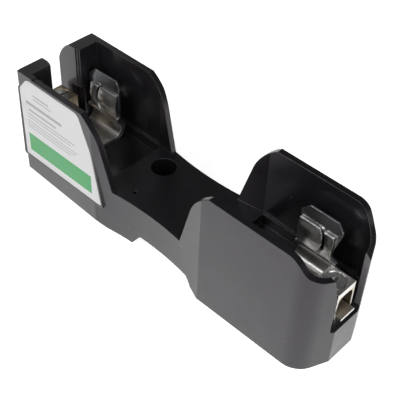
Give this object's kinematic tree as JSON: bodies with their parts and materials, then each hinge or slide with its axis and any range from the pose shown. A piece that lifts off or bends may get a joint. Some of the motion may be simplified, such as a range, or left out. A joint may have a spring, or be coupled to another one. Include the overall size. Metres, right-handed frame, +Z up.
{
  "type": "din rail fuse block",
  "caption": "Open one-pole fuse block of black plastic with two deep cups, sprung clips, box lugs with clamping screws and a foot for a 35 mm rail.",
  "frame": {"origin": "middle of the footprint, on the plane of the block's underside", "axes": "+X along the block to the end without the label, +Y across to the rear side, +Z up away from the panel"},
  "size_m": [0.175, 0.0424, 0.0584],
  "materials": {
    "black_plastic": "moulded, satin to gloss",
    "tinned_copper": "bright tin plate",
    "spring_steel": "rolled, lightly oiled",
    "lug_aluminium": "bright, tin plated",
    "screw_steel": "zinc plated",
    "insert_brass": "plain",
    "latch_plastic": "satin",
    "label_paper": "coated"
  },
  "bodies": {
    "root": {"base": "black_plastic", "clip_left": "tinned_copper", "clip_right": "tinned_copper", "spring_left": "spring_steel", "spring_right": "spring_steel", "lug_left": "lug_aluminium", "lug_right": "lug_aluminium", "clip_screws": "screw_steel", "clip_washers": "screw_steel", "inserts": "insert_brass", "latch_spring": "spring_steel", "latch_keeper": "spring_steel", "keeper_screws": "screw_steel", "label": "label_paper"},
    "latch": {"rail_latch": "latch_plastic"},
    "left_screw": {"lug_screw_left": "screw_steel"},
    "right_screw": {"lug_screw_right": "screw_steel"}
  },
  "joints": [
    {"name": "latch_slide", "type": "slide", "parent": "root", "child": "latch", "axis": [-1, 0, 0], "range_m": [0, 0.0025], "stiffness_N_per_m": 2800, "springref_m": -0.002, "deforming": ["latch_spring"]},
    {"name": "left_screw_travel", "type": "slide", "parent": "root", "child": "left_screw", "axis": [0, 0, -1], "range_m": [0, 0.0064]},
    {"name": "right_screw_travel", "type": "slide", "parent": "root", "child": "right_screw", "axis": [0, 0, -1], "range_m": [0, 0.0064]}
  ]
}
